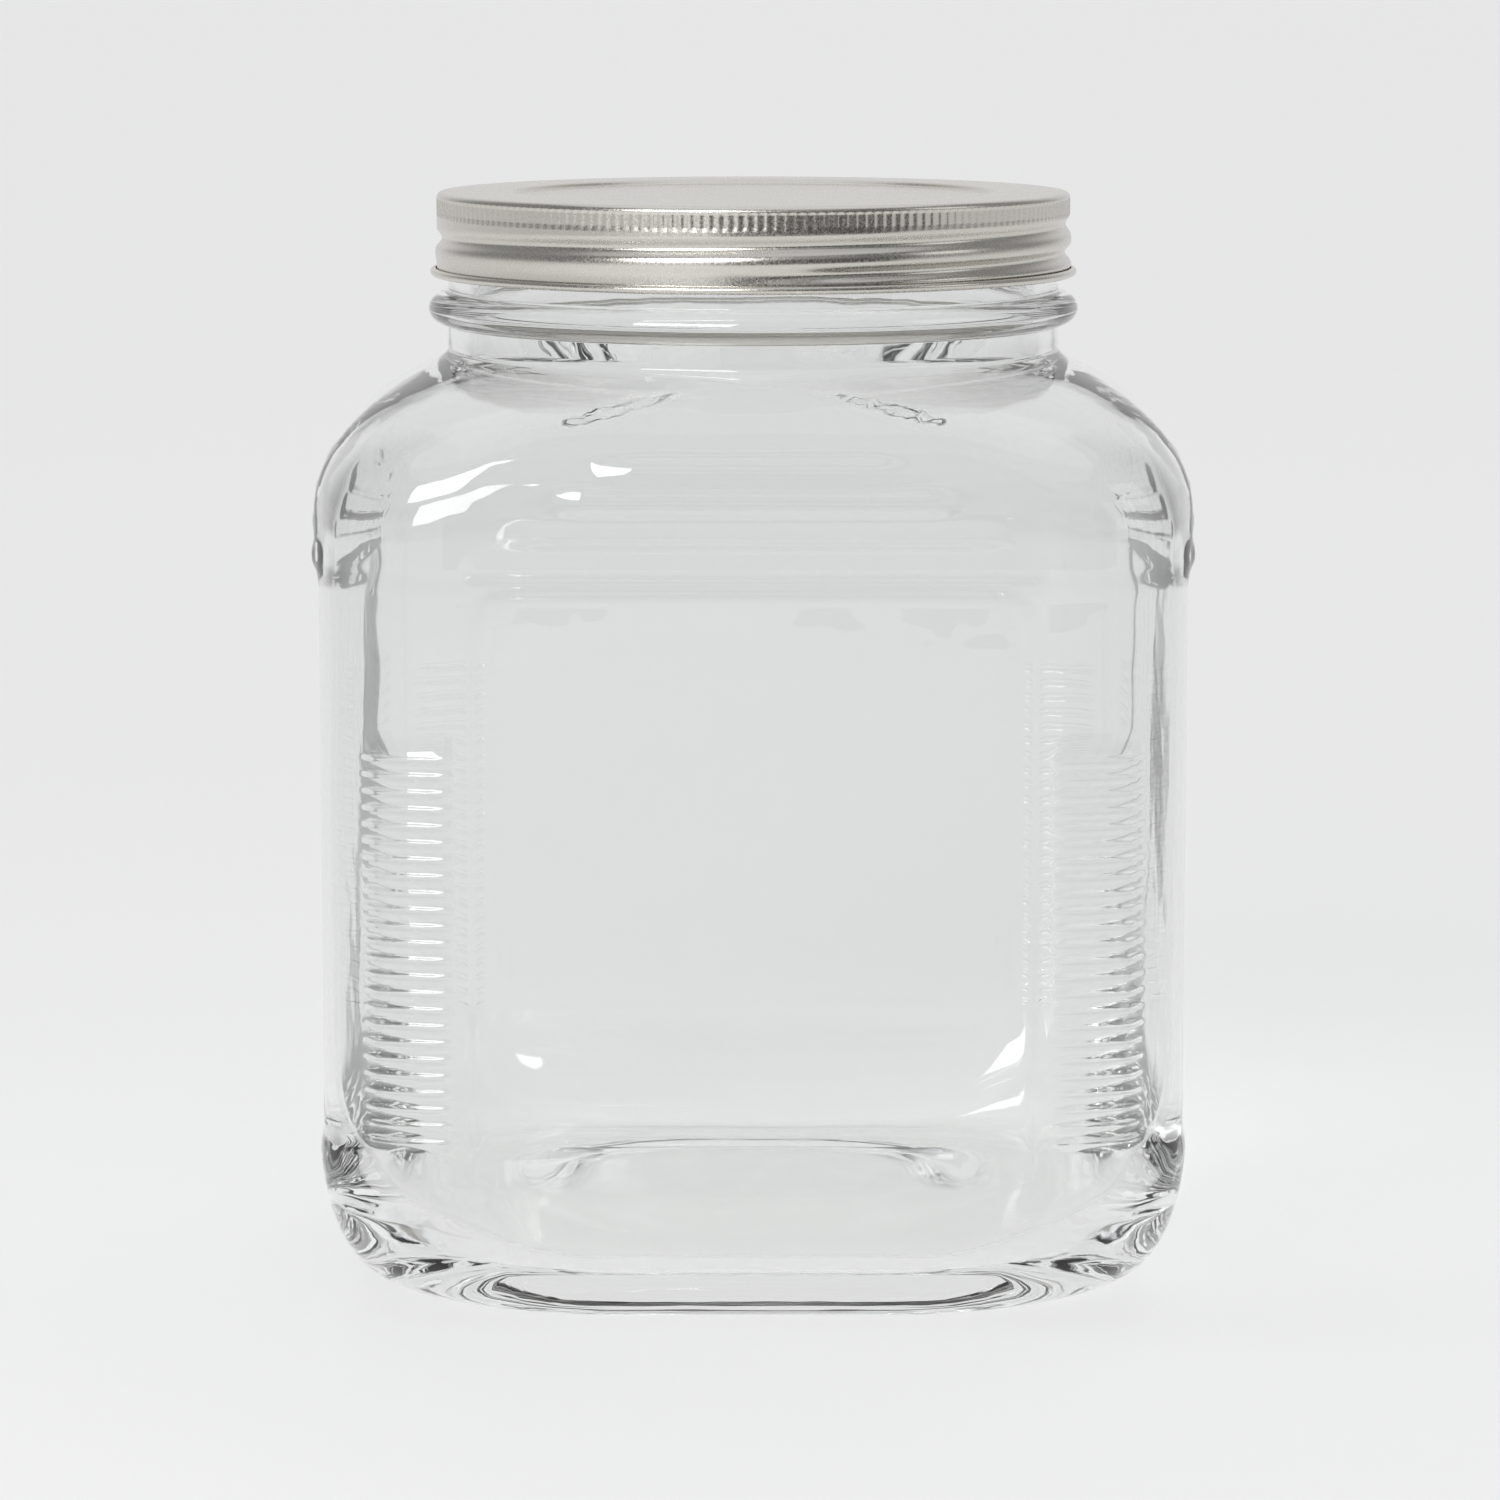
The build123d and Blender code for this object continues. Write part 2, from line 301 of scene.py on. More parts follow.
def heel_rows(sizes, wall, floor, count):
    """A quarter ellipse in height and inset, from the foot up to the body."""
    bend = pi / 2 * (1 - (1 - np.linspace(0, 1, count)) ** HEEL_CROWD)
    inward = 1 - np.sin(bend)
    inset = sizes.heel_inset * inward + wall
    corner = sizes.corner + (FOOT_CORNER - sizes.corner) * inward - wall
    z = floor + sizes.heel_height * (1 - np.cos(bend))
    return np.stack([z, sizes.half_width - inset, sizes.half_depth - inset, corner])


def body_rows(sizes, wall, z):
    """Sections of the upright body at the given heights."""
    sides = (sizes.half_width - wall, sizes.half_depth - wall, sizes.corner - wall)
    return np.stack([z, *(np.full(len(z), side) for side in sides)])


def shoulder_rows(sizes, neck, wall, drop, z):
    """Sections of the shoulder at the given heights, from a round neck out to the body."""
    u = np.clip((sizes.shoulder_top - drop - z) / sizes.shoulder_height, 0, 1)
    share = shoulder_growth(u) / shoulder_growth(1.0)
    half_x = neck + (sizes.half_width - wall - neck) * share
    half_y = neck + (sizes.half_depth - wall - neck) * share
    corner = neck + (sizes.corner - wall - neck) * share
    return np.stack([z, half_x, half_y, corner])


def round_rows(radius, z):
    """Round sections of a radius at each height."""
    radius = np.broadcast_to(radius, z.shape)
    return np.stack([z, radius, radius, radius])


def outer_rows(sizes, panel_top, shoulder_foot):
    """Sections of the outside, from the middle of the push-up to the rim."""
    foot_x, foot_y = sizes.half_width - sizes.heel_inset, sizes.half_depth - sizes.heel_inset
    foot = (0.0, foot_x, foot_y, FOOT_CORNER)
    ring = (0.0, foot_x - FOOT_RING, foot_y - FOOT_RING, FOOT_CORNER)
    crown_sides = (ring[1] - PUSH_UP_SLOPE, ring[2] - PUSH_UP_SLOPE)
    crown = (sizes.push_up, *crown_sides, min(crown_sides))
    shares = np.linspace(0, 1, 9)
    slope = between(crown, (*ring[:3], min(ring[1:3])), shares)
    slope[0] = sizes.push_up * (1 - smooth(shares))
    ribs = (GRIP_BOTTOM + GRIP_PITCH * np.arange(GRIP_COUNT)[:, None] + GRIP_ROWS).ravel()
    border = panel_top - PANEL_BEVEL - 0.001
    body = np.concatenate([
        ribs,
        np.linspace(ribs[-1], border, 7)[1:],
        np.linspace(border, panel_top - 0.0006, 6)[1:],
        panel_top + np.array([-0.0002, 0.0002]),
    ])
    steps_top = panel_top + STEP_COUNT * STEP_PITCH
    steps = np.linspace(panel_top + 0.0006, steps_top, 30)
    rise = 1 - (1 - np.linspace(0, 1, 17)[1:]) ** SHOULDER_CROWD
    over = steps_top + (sizes.shoulder_top - steps_top) * rise
    upright = np.concatenate([body, steps[steps < shoulder_foot]])
    curved = np.concatenate([steps[steps >= shoulder_foot], over])
    bead_low, bead_high = BEAD_MIDDLE - BEAD_HALF, BEAD_MIDDLE + BEAD_HALF
    bead = np.linspace(-pi / 2, pi / 2, 13)
    bead_radius = sizes.neck + BEAD_PROUD * np.cos(bead)
    rim_bend = np.linspace(0, pi / 2, 6)
    rim = sizes.height - RIM_ROUND
    rim_radius = sizes.neck - RIM_ROUND * (1 - np.cos(rim_bend))
    return np.concatenate([
        scaled_rows(CROWN_SHARES, crown),
        slope,
        between(ring, foot, FOOT_SHARES),
        heel_rows(sizes, 0, 0, 20)[:, :-1],
        body_rows(sizes, 0, upright),
        shoulder_rows(sizes, sizes.neck, 0, 0, curved),
        round_rows(sizes.neck, np.linspace(sizes.shoulder_top + 0.0012, bead_low - 0.0003, 4)),
        round_rows(bead_radius, BEAD_MIDDLE + BEAD_HALF * np.sin(bead)),
        round_rows(sizes.neck, np.linspace(bead_high + 0.0004, NECK_PLAIN_TOP, 3)),
        round_rows(sizes.neck, np.linspace(NECK_THREAD_LOW, rim - 0.0002, 21)),
        round_rows(rim_radius, rim + RIM_ROUND * np.sin(rim_bend)),
    ], axis=1)


def inner_rows(sizes):
    """Sections of the inside, from the rim down to the middle of the floor."""
    mouth = sizes.neck - sizes.neck_wall
    rim = sizes.height - RIM_ROUND
    rim_bend = np.linspace(pi / 2, 0, 6)
    rim_radius = mouth + RIM_ROUND * (1 - np.cos(rim_bend))
    top = sizes.shoulder_top - SHOULDER_DROP
    curve = top - sizes.shoulder_height * np.linspace(0, 1, 17)[1:] ** INNER_CROWD
    floor = sizes.push_up + sizes.floor_wall
    body = np.linspace(curve[-1], floor + sizes.heel_height, 6)[1:]
    heel = heel_rows(sizes, sizes.wall, floor, 13)[:, ::-1][:, 1:]
    return np.concatenate([
        round_rows(rim_radius, rim + RIM_ROUND * np.sin(rim_bend)),
        round_rows(mouth, np.linspace(rim - 0.002, top, 5)),
        shoulder_rows(sizes, mouth, sizes.wall, SHOULDER_DROP, curve),
        body_rows(sizes, sizes.wall, body),
        heel,
        scaled_rows(FLOOR_SHARES, tuple(heel[:, -1])),
    ], axis=1)


def panel_relief(sizes, x, y, z, normal_x, normal_y, panel_top):
    """Recessed panels and the raised ribs over each, measured along the normal.

    Each is a plate on its face: its depth ramps up over a bevel inside its outline.
    """
    flat_x, flat_y = sizes.half_width - sizes.corner, sizes.half_depth - sizes.corner
    relief = np.zeros_like(x)
    for across, facing, flat, beyond, taper in (
        (x, np.abs(normal_y) > sqrt(0.5), flat_x, 0, STEP_TAPER),
        (y, np.abs(normal_x) > sqrt(0.5), flat_y, SIDE_STEP_BEYOND, SIDE_STEP_TAPER),
    ):
        half = flat - PANEL_BORDER
        inside = -plate_distance(across, z, half, PANEL_BOTTOM, panel_top, PANEL_CORNER)
        here = -sizes.panel_depth * smooth(inside / PANEL_BEVEL)
        for row in range(STEP_COUNT):
            low = panel_top + row * STEP_PITCH
            reach = half + beyond - row * taper
            rib = -plate_distance(across, z, reach, low, low + STEP_PITCH, STEP_ROUND)
            crest = np.sin(0.5 * pi * np.clip(rib / STEP_BEVEL, 0, 1))
            here = here + sizes.step_height * crest
        relief = np.where(facing, relief + here, relief)
    return relief


def grip_relief(sizes, z, normal_x, normal_y):
    """Round-backed grip ribs on the corners' front and back halves."""
    bend = np.arctan2(np.abs(normal_y), np.abs(normal_x))
    row = np.clip(np.round((z - GRIP_BOTTOM) / GRIP_PITCH), 0, GRIP_COUNT - 1)
    offset = z - GRIP_BOTTOM - row * GRIP_PITCH
    crest = np.sqrt(np.maximum(GRIP_ROUND**2 - offset**2, 0)) - (GRIP_ROUND - sizes.grip_height)
    ends = smooth((bend - GRIP_FROM) / GRIP_FROM_FADE) * smooth((GRIP_TO - bend) / GRIP_TO_FADE)
    return np.maximum(crest, 0) * ends


def wall_wave(turn, z):
    """Slow waves of the blown inside, fading out towards the floor and the shoulder."""
    wave = np.sin(3 * turn + 0.7) * np.sin(z / 0.021)
    wave = wave + 0.7 * np.sin(5 * turn + 2.1) * np.sin(z / 0.034 + 1)
    from_top = smooth((WALL_WAVE_TOP - z) / WALL_WAVE_TOP_FADE)
    from_low = smooth((z - WALL_WAVE_LOW) / WALL_WAVE_LOW_FADE)
    return WALL_WAVE * wave * from_top * from_low


def make_glass(sizes):
    """The jar: sections along its profile, each moved along its normal by the relief."""
    turn = glass_columns(sizes)[None, :]
    shoulder_foot = sizes.shoulder_top - sizes.shoulder_height
    panel_top = shoulder_foot - PANEL_TOP_GAP
    rows = outer_rows(sizes, panel_top, shoulder_foot)
    z, half_x, half_y, corner = (row[:, None] for row in rows)
    rise = smooth((z - WAIST_BOTTOM) / WAIST_RAMP + 0.5)
    fall = smooth((panel_top - z) / WAIST_RAMP + 0.5)
    waist = sizes.waist_depth * rise * fall
    x, y, normal_x, normal_y = rounded_section(
        turn, half_x - waist, half_y - WAIST_FRONT * waist, corner - waist
    )
    z = np.broadcast_to(z, x.shape)
    on_body = (z > 0.6 * PANEL_BOTTOM) & (z < sizes.shoulder_top)
    panels = panel_relief(sizes, x, y, z, normal_x, normal_y, panel_top)
    grips = grip_relief(sizes, z, normal_x, normal_y)
    relief = np.where(on_body, panels, 0) + np.where(z < panel_top, grips, 0)

    def bead(offset):
        return np.sqrt(np.maximum(THREAD_ROUND**2 - offset**2, 0))

    crest = along_helix(turn, z, THREAD_START, THREAD_LOW, THREAD_TURNS, THREAD_FADE, bead)
    threaded = (z > THREAD_ZONE) & (z < sizes.height - RIM_ROUND)
    relief = relief + np.where(threaded, crest, 0)
    x, y = x + normal_x * relief, y + normal_y * relief

    low, half_x, half_y, corner = (row[:, None] for row in inner_rows(sizes))
    inner_x, inner_y, normal_x, normal_y = rounded_section(turn, half_x, half_y, corner)
    low = np.broadcast_to(low, inner_x.shape)
    wave = wall_wave(turn, low)
    inner_x, inner_y = inner_x + normal_x * wave, inner_y + normal_y * wave
    return grid_object(
        "jar_glass", np.vstack([x, inner_x]), np.vstack([y, inner_y]), np.vstack([z, low]), "poles"
    )


# ---- lid and gasket ----------------------------------------------------------------

LID_EDGE = 0.00115
PLATE_SLOPE = 0.00115
PLATE_ROWS = np.array([0.004, 0.018, 0.034, 0.0445])
CURL_ROUND = 0.00082
CURL_END = radians(465)
KNURL_TOP = 0.00115  # from the lid's top down to the knurled band
KNURL_HEIGHT = 0.0033
KNURL_FADE = 0.0003
GROOVE_LOW = 0.2029277
GROOVE_TURNS = 1.3117
GROOVE_START = radians(265)
GROOVE_FADE = 0.07
GROOVE_HALF = 0.0021
BULGE_HEIGHT = 0.00032
BULGE_BELOW = 1.45 * GROOVE_HALF
BULGE_HALF = 0.7 * GROOVE_HALF
FLUTE_STEPS = 4  # columns for each flute
SEAT_GAP = 0.00002  # between the sealing rim and the gasket
GASKET_LAP = 0.0011  # how far the gasket reaches in past the glass
GASKET_ROUND = 0.0003
GASKET_COLUMNS = 192


def arc(centre, radius, start, end, count):
    """Points of an arc in the section plane, as rows of radius and height."""
    bend = np.linspace(start, end, count)
    return np.stack([centre[0] + radius * np.cos(bend), centre[1] + radius * np.sin(bend)])


def line(first, last, count):
    """Even points of a straight stretch of the section, without its ends."""
    shares = np.linspace(0, 1, count + 2)[1:-1]
    return np.array(first)[:, None] * (1 - shares) + np.array(last)[:, None] * shares


def plate_profile(lid, top):
    """From the middle of the plate out over its smooth step to the top ring."""
    step = np.linspace(0, 1, 7)
    radius = lid.plate_edge - PLATE_SLOPE + PLATE_SLOPE * step
    height = top - lid.plate_drop * (1 - smooth(step))
    middle = np.stack([PLATE_ROWS, np.full(len(PLATE_ROWS), top - lid.plate_drop)])
    return np.concatenate([middle, np.stack([radius, height])], axis=1)


def lid_profile(lid):
    """The closed section: plate's underside, inside of the skirt, curl, outside, plate's top."""
    top, low = LID_HIGH[2], LID_LOW[2]
    inner = lid.skirt - lid.sheet
    edge = (lid.skirt - LID_EDGE, top - LID_EDGE)
    curl = (inner + CURL_ROUND, low + CURL_ROUND)
    knurl_low = top - KNURL_TOP - KNURL_HEIGHT
    under = plate_profile(lid, top - lid.sheet)
    return np.concatenate([
        under[:, :len(PLATE_ROWS)],
        under[:, len(PLATE_ROWS)::2],
        line((lid.plate_edge, top - lid.sheet), (edge[0], top - lid.sheet), 1),
        arc(edge, LID_EDGE - lid.sheet, pi / 2, 0, 5),
        line((inner, edge[1]), (inner, curl[1]), 16),
        arc(curl, CURL_ROUND, pi, CURL_END, 13),
        arc(curl, CURL_ROUND - lid.sheet, CURL_END, pi, 6),
        line((lid.skirt, curl[1]), (lid.skirt, knurl_low), 32),
        line((lid.skirt, knurl_low), (lid.skirt, edge[1]), 10),
        arc(edge, LID_EDGE, 0, pi / 2, 7),
        line((edge[0], top), (lid.plate_edge, top), 2),
        plate_profile(lid, top)[:, ::-1],
    ], axis=1)


def make_lid(lid):
    """The lid: its section turned about +Z, with flutes and the rolled thread pressed in.

    A flute's depth is a cosine wave of the angle. The rolled thread is a raised
    cosine about its helix, with a soft bulge under it where the metal has moved.
    """
    knurl_high = LID_HIGH[2] - KNURL_TOP
    knurl_low = knurl_high - KNURL_HEIGHT
    columns = lid.flutes * FLUTE_STEPS
    turn = (np.arange(columns) * 2 * pi / columns)[None, :]
    radius, height = (row[:, None] for row in lid_profile(lid))

    def pressed(offset):
        press = 0.5 + 0.5 * np.cos(pi * np.clip(offset / GROOVE_HALF, -1, 1))
        bulge = np.exp(-(((offset + BULGE_BELOW) / BULGE_HALF) ** 2))
        return BULGE_HEIGHT * bulge - lid.groove_depth * press

    rolled = along_helix(
        turn, height, GROOVE_START, GROOVE_LOW, GROOVE_TURNS, GROOVE_FADE, pressed
    )
    on_skirt = smooth((radius - lid.skirt + 0.0008) / 0.0003)
    under_knurl = smooth((knurl_low - height) / 0.0004 + 1)
    over_curl = smooth((height - LID_LOW[2] - 2 * CURL_ROUND + 0.0002) / 0.0008)
    rolled = rolled * on_skirt * under_knurl * over_curl
    band = smooth((height - knurl_low) / KNURL_FADE) * smooth((knurl_high - height) / KNURL_FADE)
    outside = radius > lid.skirt - lid.sheet / 2
    flutes = -lid.flute_depth * (0.5 + 0.5 * np.cos(turn * lid.flutes)) * band * outside
    reach = radius + rolled + flutes
    height = np.broadcast_to(height, reach.shape)
    return grid_object("lid_steel", reach * np.cos(turn), reach * np.sin(turn), height, "poles")


def make_gasket(lid, jar):
    """The sealing ring: a rounded rectangle turned about +Z."""
    outer = lid.skirt - LID_EDGE - GASKET_ROUND
    inner = jar.neck - jar.neck_wall - GASKET_LAP + GASKET_ROUND
    low = jar.height + SEAT_GAP + GASKET_ROUND
    high = jar.height + SEAT_GAP + lid.gasket - GASKET_ROUND
    corners = ((outer, low, -pi / 2), (outer, high, 0), (inner, high, pi / 2), (inner, low, pi))
    section = np.concatenate(
        [arc(centre, GASKET_ROUND, start, start + pi / 2, 5) for *centre, start in corners], axis=1
    )
    turn = np.linspace(0, 2 * pi, GASKET_COLUMNS + 1)[None, :-1]
    radius, height = (row[:, None] for row in section)
    x, y = radius * np.cos(turn), radius * np.sin(turn)
    return grid_object("lid_seal", x, y, np.broadcast_to(height, x.shape), "ring")


# ---- materials ------------------------------------------------------------------------

NUMBER, DIRECTION = "NodeSocketFloat", "NodeSocketVector"


def new_group(name, inputs, outputs):
    """An empty shader node group with inputs and outputs of the given kinds."""
    group = bpy.data.node_groups.new(name, "ShaderNodeTree")
    for label, kind, default in inputs:
        socket = group.interface.new_socket(label, in_out="INPUT", socket_type=kind)
        if default is not None:
            socket.default_value = default
    for label, kind in outputs:
        group.interface.new_socket(label, in_out="OUTPUT", socket_type=kind)
    return group, group.nodes.new("NodeGroupInput"), group.nodes.new("NodeGroupOutput")


def noise(tree, vector, scale, detail):
    """A noise texture on a vector."""
    node = tree.nodes.new("ShaderNodeTexNoise")
    node.inputs["Scale"].default_value = scale
    node.inputs["Detail"].default_value = detail
    tree.links.new(vector, node.inputs["Vector"])
    return node.outputs["Fac"]


def math(tree, operation, first, second):
    """A math node; each operand is a socket or a number."""
    node = tree.nodes.new("ShaderNodeMath")
    node.operation = operation
    for index, operand in enumerate((first, second)):
        if isinstance(operand, bpy.types.NodeSocket):
            tree.links.new(operand, node.inputs[index])
        else:
            node.inputs[index].default_value = operand
    return node.outputs[0]


def ramp_range(tree, value, low, high, to_low, to_high):
    """A map range node with smooth ends."""
    node = tree.nodes.new("ShaderNodeMapRange")
    node.interpolation_type = "SMOOTHSTEP"
    tree.links.new(value, node.inputs["Value"])
    ends = {"From Min": low, "From Max": high, "To Min": to_low, "To Max": to_high}
    for label, number in ends.items():
        socket = node.inputs[label]
        if isinstance(number, bpy.types.NodeSocket):
            tree.links.new(number, socket)
        else:
            socket.default_value = number
    return node.outputs["Result"]


def grain_group():
    """Fine even grain: a height, and a value about 1 that mottles colour or roughness."""
    group, given, out = new_group(
        "fine_grain",
        [("Vector", DIRECTION, None), ("Scale", NUMBER, 2500.0), ("Contrast", NUMBER, 0.1)],
        [("Height", NUMBER), ("Value", NUMBER)],
    )
    fine = group.nodes.new("ShaderNodeTexNoise")
    fine.inputs["Detail"].default_value = 3.0
    group.links.new(given.outputs["Vector"], fine.inputs["Vector"])
    group.links.new(given.outputs["Scale"], fine.inputs["Scale"])
    centred = math(group, "SUBTRACT", fine.outputs["Fac"], 0.5)
    scaled = math(group, "MULTIPLY", centred, given.outputs["Contrast"])
    group.links.new(fine.outputs["Fac"], out.inputs["Height"])
    group.links.new(math(group, "ADD", scaled, 1.0), out.inputs["Value"])
    return group


def smudge_group():
    """Broad soft patches, as handling leaves: a mask from 0 to 1."""
    group, given, out = new_group(
        "soft_smudges",
        [("Vector", DIRECTION, None), ("Scale", NUMBER, 30.0), ("Spread", NUMBER, 0.15)],
        [("Mask", NUMBER)],
    )
    broad = group.nodes.new("ShaderNodeTexNoise")
    broad.inputs["Detail"].default_value = 2.0
    broad.inputs["Distortion"].default_value = 0.6
    group.links.new(given.outputs["Vector"], broad.inputs["Vector"])
    group.links.new(given.outputs["Scale"], broad.inputs["Scale"])
    low = math(group, "SUBTRACT", 0.5, given.outputs["Spread"])
    high = math(group, "ADD", 0.5, given.outputs["Spread"])
    mask = ramp_range(group, broad.outputs["Fac"], low, high, 0.0, 1.0)
    group.links.new(mask, out.inputs["Mask"])
    return group


def wear_group():
    """Bright rubbed edges: a mask from the surface's convexity, broken up by noise."""
    group, given, out = new_group(
        "edge_wear",
        [("Vector", DIRECTION, None), ("Low", NUMBER, 0.5), ("High", NUMBER, 0.6)],
        [("Mask", NUMBER)],
    )
    shape = group.nodes.new("ShaderNodeNewGeometry")
    low, high = given.outputs["Low"], given.outputs["High"]
    edge = ramp_range(group, shape.outputs["Pointiness"], low, high, 0.0, 1.0)
    flecks = noise(group, given.outputs["Vector"], 400.0, 3.0)
    broken = ramp_range(group, flecks, 0.35, 0.65, 0.35, 1.0)
    group.links.new(math(group, "MULTIPLY", edge, broken), out.inputs["Mask"])
    return group


def place(tree, group, vector, **values):
    """A node group in a material, with its own values."""
    node = tree.nodes.new("ShaderNodeGroup")
    node.node_tree = group
    tree.links.new(vector, node.inputs["Vector"])
    for label, value in values.items():
        node.inputs[label.replace("_", " ")].default_value = value
    return node


def new_material(name):
    """A material with its tree, its Principled shader and the Object coordinates."""
    material = bpy.data.materials.new(name)
    material.use_nodes = True
    tree = material.node_tree
    where = tree.nodes.new("ShaderNodeTexCoord").outputs["Object"]
    return material, tree, tree.nodes["Principled BSDF"], where


def scaled_colour(tree, base, factor):
    """A base colour times a factor that varies over the surface."""
    node = tree.nodes.new("ShaderNodeVectorMath")
    node.operation = "SCALE"
    node.inputs[0].default_value = base
    tree.links.new(factor, node.inputs["Scale"])
    return node.outputs[0]


def bump(tree, height, distance, strength):
    """A bump node from a height."""
    node = tree.nodes.new("ShaderNodeBump")
    node.inputs["Distance"].default_value = distance
    node.inputs["Strength"].default_value = strength
    tree.links.new(height, node.inputs["Height"])
    return node.outputs["Normal"]


def glass_material(tint, groups):
    """Clear fire-polished glass, slightly wavy and smudged; its shadow lets light through."""
    material, tree, shader, where = new_material("clear_glass")
    shader.inputs["Transmission Weight"].default_value = 1.0
    shader.inputs["IOR"].default_value = 1.5
    shader.inputs["Base Color"].default_value = (*tint, 1.0)
    smudges = place(tree, groups["smudges"], where, Scale=26.0, Spread=0.2)
    rough = ramp_range(tree, smudges.outputs["Mask"], 0.0, 1.0, 0.0, 0.02)
    tree.links.new(rough, shader.inputs["Roughness"])
    ripple = noise(tree, where, 55.0, 1.5)
    tree.links.new(bump(tree, ripple, 0.0006, 0.25), shader.inputs["Normal"])
    output = tree.nodes["Material Output"]
    clear = tree.nodes.new("ShaderNodeBsdfTransparent")
    clear.inputs["Color"].default_value = (0.86, 0.87, 0.865, 1.0)
    light = tree.nodes.new("ShaderNodeLightPath")
    mix = tree.nodes.new("ShaderNodeMixShader")
    tree.links.new(light.outputs["Is Shadow Ray"], mix.inputs["Fac"])
    tree.links.new(shader.outputs["BSDF"], mix.inputs[1])
    tree.links.new(clear.outputs["BSDF"], mix.inputs[2])
    tree.links.new(mix.outputs["Shader"], output.inputs["Surface"])
    return material


def steel_material(base, groups):
    """Satin steel: fine grain in its colour, roughness and height, with rubbed edges."""
    material, tree, shader, where = new_material("satin_steel")
    shader.inputs["Metallic"].default_value = 1.0
    grain = place(tree, groups["grain"], where, Scale=2300.0, Contrast=0.32)
    wear = place(tree, groups["wear"], where, Low=0.53, High=0.62)
    smudges = place(tree, groups["smudges"], where, Scale=45.0, Spread=0.25)
    lift = math(tree, "MULTIPLY", wear.outputs["Mask"], 0.12)
    dull = math(tree, "MULTIPLY", smudges.outputs["Mask"], -0.03)
    factor = math(tree, "ADD", math(tree, "ADD", grain.outputs["Value"], lift), dull)
    tree.links.new(scaled_colour(tree, base, factor), shader.inputs["Base Color"])
    rough = ramp_range(tree, grain.outputs["Height"], 0.3, 0.7, 0.22, 0.32)
    rough = math(tree, "SUBTRACT", rough, math(tree, "MULTIPLY", wear.outputs["Mask"], 0.1))
    tree.links.new(rough, shader.inputs["Roughness"])
    tree.links.new(bump(tree, grain.outputs["Height"], 0.00003, 0.28), shader.inputs["Normal"])
    return material


def seal_material(base, groups):
    """Soft off-white sealing compound with a fine matt skin."""
    material, tree, shader, where = new_material("sealing_ring")
    grain = place(tree, groups["grain"], where, Scale=900.0, Contrast=0.1)
    tint = scaled_colour(tree, base, grain.outputs["Value"])
    tree.links.new(tint, shader.inputs["Base Color"])
    smudges = place(tree, groups["smudges"], where, Scale=60.0, Spread=0.2)
    rough = ramp_range(tree, smudges.outputs["Mask"], 0.0, 1.0, 0.5, 0.62)
    tree.links.new(rough, shader.inputs["Roughness"])
    tree.links.new(bump(tree, grain.outputs["Height"], 0.0001, 0.4), shader.inputs["Normal"])
    return material


def groups_ready():
    """The shared node groups, built once."""
    makers = {
        "grain": ("fine_grain", grain_group),
        "smudges": ("soft_smudges", smudge_group),
        "wear": ("edge_wear", wear_group),
    }
    made = bpy.data.node_groups
    return {key: made.get(name) or maker() for key, (name, maker) in makers.items()}


def stand_for(piece, material, body, node):
    """Gives a piece its material and slot, and rides it on a body in place of a CAD node."""
    piece.data.materials.append(material)
    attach(piece, body)
    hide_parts(node)


# ---- stage ----------------------------------------------------------------------------

BOWL_FLAT = 1.5
BOWL_BEND = 0.7
BOWL_WALL = 3.2
BOWL_COLUMNS = 128
FLOOR_GAP = 0.0002  # keeps the floor clear of the glass foot
CAMERA_DISTANCE = 1.19
CAMERA_HEIGHT = 0.274
CAMERA_PITCH = radians(8.18)
CAMERA_LENS = 141.9
CAMERA_SHIFT = -0.0022
SENSOR = 36.0
PATH_BOUNCES = 16  # light crosses many faces in the heel
GLOW = 0.53  # the bowl's own light
WORLD_COLOUR = (0.75, 0.76, 0.78, 1.0)
CARD_COLOUR = (0.05, 0.047, 0.043, 1.0)
CARD_HALF, CARD_LOW, CARD_HIGH = 0.62, 0.02, 0.50
CARD_TURN = radians(20)
SOFTBOXES = (  # name, place, target, width, height, power
    ("key", (-0.57, -1.22, 0.82), (0, 0, 0.15), 0.9, 0.5, 14.0),
    ("top", (0.0, 0.5, 1.9), (0, 0, 0.1), 1.6, 1.6, 1.5),
    ("fill", (1.5, -0.4, 0.9), (0, 0, 0.12), 0.7, 0.7, 1.5),
)


def stage_material(base, glow):
    """Pale matt surface, darker behind the camera and towards the flanks."""
    material, tree, shader, where = new_material("studio")
    split = tree.nodes.new("ShaderNodeSeparateXYZ")
    tree.links.new(where, split.inputs[0])
    back = ramp_range(tree, split.outputs["Y"], -1.3, 0.3, 0.66, 1.0)
    side = math(tree, "ABSOLUTE", split.outputs["X"], 0.0)
    flank = ramp_range(tree, side, 0.9, 2.0, 1.0, 0.60)
    wall = ramp_range(tree, split.outputs["Z"], 0.05, 0.5, 0.0, 1.0)
    dark = math(tree, "SUBTRACT", 1.0, math(tree, "MULTIPLY", back, flank))
    shade = math(tree, "SUBTRACT", 1.0, math(tree, "MULTIPLY", dark, wall))
    shade = math(tree, "MULTIPLY", shade, shade)
    tree.links.new(scaled_colour(tree, base, shade), shader.inputs["Base Color"])
    tree.links.new(scaled_colour(tree, (1.0, 1.0, 1.0), shade), shader.inputs["Emission Color"])
    shader.inputs["Emission Strength"].default_value = glow
    shader.inputs["Roughness"].default_value = 0.9
    shader.inputs["Specular IOR Level"].default_value = 0.1
    return material


